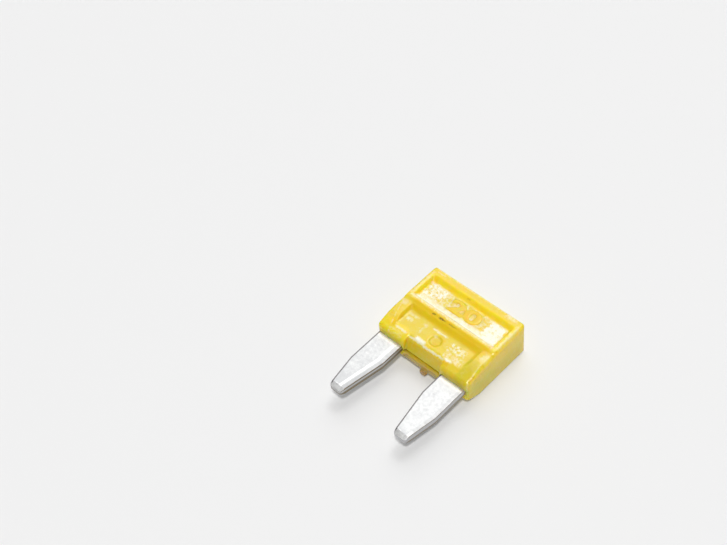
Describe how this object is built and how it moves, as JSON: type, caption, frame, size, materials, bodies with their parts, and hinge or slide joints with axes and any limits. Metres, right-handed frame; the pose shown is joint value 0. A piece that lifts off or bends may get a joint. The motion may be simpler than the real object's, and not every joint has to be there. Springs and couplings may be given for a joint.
{
  "type": "automotive blade fuse",
  "caption": "Plug-in blade fuse of the mini size: a translucent moulded housing over a flat metal fuse element whose blades stick out side by side.",
  "frame": {"origin": "centre of the outline's footprint, on the surface that the fuse's back lies on", "axes": "+X across the two blades, +Y along the fuse from the blade tips to the head, +Z out of the front face"},
  "size_m": [0.011, 0.0154, 0.0038],
  "materials": {
    "housing_plastic": "translucent yellow moulded plastic, glossy, with a spark-textured dish in the head",
    "tinned_zinc": "tinned zinc strip, satin and slightly mottled, with brighter sheared edges"
  },
  "bodies": {
    "root": {"housing": "housing_plastic", "fuse_element": "tinned_zinc"}
  },
  "joints": []
}
